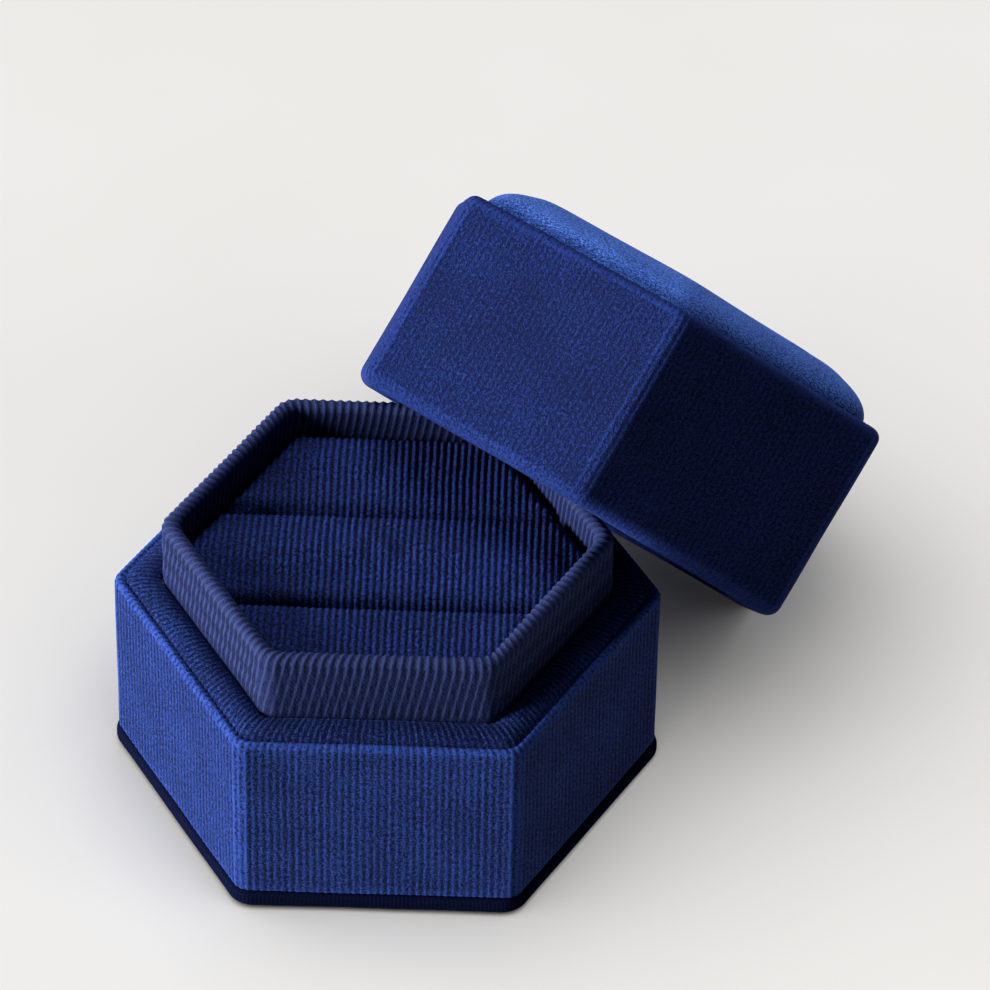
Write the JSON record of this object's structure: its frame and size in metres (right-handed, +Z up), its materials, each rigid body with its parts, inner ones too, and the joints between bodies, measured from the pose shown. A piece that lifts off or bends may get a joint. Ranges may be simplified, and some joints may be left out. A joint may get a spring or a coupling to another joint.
{
  "type": "ring box",
  "caption": "Hexagonal velvet-covered ring box, open: base with raised ribbed collar and slotted padded insert, lift-off lid with padded top leaning on the collar.",
  "frame": {"origin": "middle of the base's underside, on the surface it stands on", "axes": "+Z up out of the base, -Y out of the base's front flat face, +X to the right, towards a corner of the hexagon"},
  "size_m": [0.0784, 0.0778, 0.0521],
  "materials": {
    "blue_velvet": "matte",
    "pillow_velvet": "matte",
    "ribbed_pad_velvet": "matte",
    "ribbed_collar_cloth": "satin",
    "plate_cloth": "matte",
    "lid_lining_cloth": "matte",
    "grey_board": "matte",
    "pad_foam": "matte",
    "flocked_paper": "matte"
  },
  "bodies": {
    "base": {"foot_sheet": "flocked_paper", "bottom_wrap": "plate_cloth", "bottom_board": "grey_board", "base_velvet": "blue_velvet", "base_wall_board": "grey_board", "shoulder_filler": "grey_board", "collar_board": "grey_board", "collar_cloth": "ribbed_collar_cloth", "insert_tray": "grey_board", "front_pad_cover": "ribbed_pad_velvet", "front_pad_foam": "pad_foam", "middle_pad_cover": "ribbed_pad_velvet", "middle_pad_foam": "pad_foam", "back_pad_cover": "ribbed_pad_velvet", "back_pad_foam": "pad_foam"},
    "lid": {"lid_velvet": "blue_velvet", "lid_wall_board": "grey_board", "lid_top_board": "grey_board", "lid_lining": "lid_lining_cloth", "ceiling_pad": "lid_lining_cloth", "pillow_board": "grey_board", "pillow_foam": "pad_foam", "pillow_velvet": "pillow_velvet"}
  },
  "joints": [
    {"name": "lid_lift", "type": "slide", "parent": "base", "child": "lid", "axis": [0, 0, 1], "range_m": [0, 0.045]}
  ]
}
